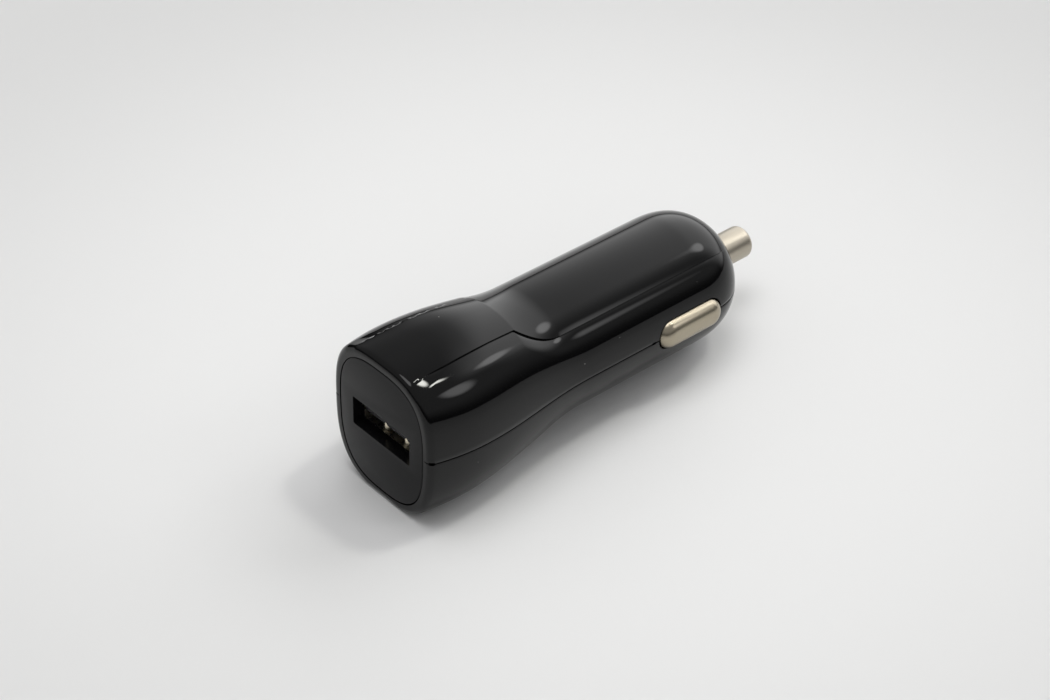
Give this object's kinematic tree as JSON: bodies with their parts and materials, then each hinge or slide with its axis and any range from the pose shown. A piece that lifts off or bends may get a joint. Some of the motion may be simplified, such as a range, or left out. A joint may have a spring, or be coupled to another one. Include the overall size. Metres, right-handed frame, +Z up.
{
  "type": "car usb charger plug",
  "caption": "Black car charger plug with one USB port, a round barrel with two sprung side contacts and a sprung centre contact.",
  "frame": {"origin": "on the plug's axis at the front end of the round barrel, where it enters the socket", "axes": "+X along the axis towards the centre contact, +Z up with the label panel on top, Z = 0 is the parting plane of the two housing halves"},
  "size_m": [0.072, 0.0242, 0.0248],
  "materials": {
    "gloss_black": "polished black moulded plastic",
    "face_black": "black moulded plastic, slightly less polished",
    "nickel": "warm nickel plate",
    "port_steel": "bright tinned steel sheet",
    "port_plastic": "black moulded plastic",
    "gold_strip": "gold flash on bronze strip",
    "brass_strip": "folded brass strip",
    "spring_steel": "drawn spring wire",
    "board_green": "solder mask over glass laminate",
    "cap_sleeve": "shrunk plastic sleeve over a can",
    "cap_can": "drawn can",
    "chip_black": "moulded epoxy",
    "chip_tan": "fired ceramic",
    "ferrite": "pressed ferrite",
    "copper": "varnished copper wire",
    "tin": "tin plate",
    "fuse_green": "laminate body"
  },
  "bodies": {
    "housing": {"upper_shell": "gloss_black", "lower_shell": "gloss_black", "face_plate": "face_black", "usb_shell": "port_steel", "usb_tongue": "port_plastic", "usb_contact_1": "gold_strip", "usb_contact_2": "gold_strip", "usb_contact_3": "gold_strip", "usb_contact_4": "gold_strip", "circuit_board": "board_green", "tip_spring": "spring_steel", "tip_spring_seat": "brass_strip", "left_side_spring": "spring_steel", "right_side_spring": "spring_steel", "ground_strap": "brass_strip", "input_capacitor": "cap_sleeve", "output_capacitor": "cap_can", "output_capacitor_base": "chip_black", "choke_core": "ferrite", "choke_winding": "copper", "regulator_body": "chip_black", "regulator_leads": "tin", "rectifier_diode": "chip_black", "input_fuse": "fuse_green", "chip_resistor_1": "chip_black", "chip_resistor_2": "chip_black", "chip_resistor_3": "chip_black", "chip_capacitor_1": "chip_tan", "chip_capacitor_2": "chip_tan", "chip_capacitor_3": "chip_tan"},
    "tip": {"tip_contact": "nickel"},
    "left_contact": {"left_side_contact": "nickel"},
    "right_contact": {"right_side_contact": "nickel"}
  },
  "joints": [
    {"name": "tip_press", "type": "slide", "parent": "housing", "child": "tip", "axis": [-1, 0, 0], "range_m": [0, 0.003], "stiffness_N_per_m": 1200, "springref_m": -0.0001, "deforming": ["tip_spring"]},
    {"name": "left_contact_press", "type": "slide", "parent": "housing", "child": "left_contact", "axis": [0, -1, 0], "range_m": [0, 0.0012], "stiffness_N_per_m": 900, "springref_m": -0.0001, "deforming": ["left_side_spring"]},
    {"name": "right_contact_press", "type": "slide", "parent": "housing", "child": "right_contact", "axis": [0, 1, 0], "range_m": [0, 0.0012], "stiffness_N_per_m": 900, "springref_m": -0.0001, "deforming": ["right_side_spring"]}
  ]
}
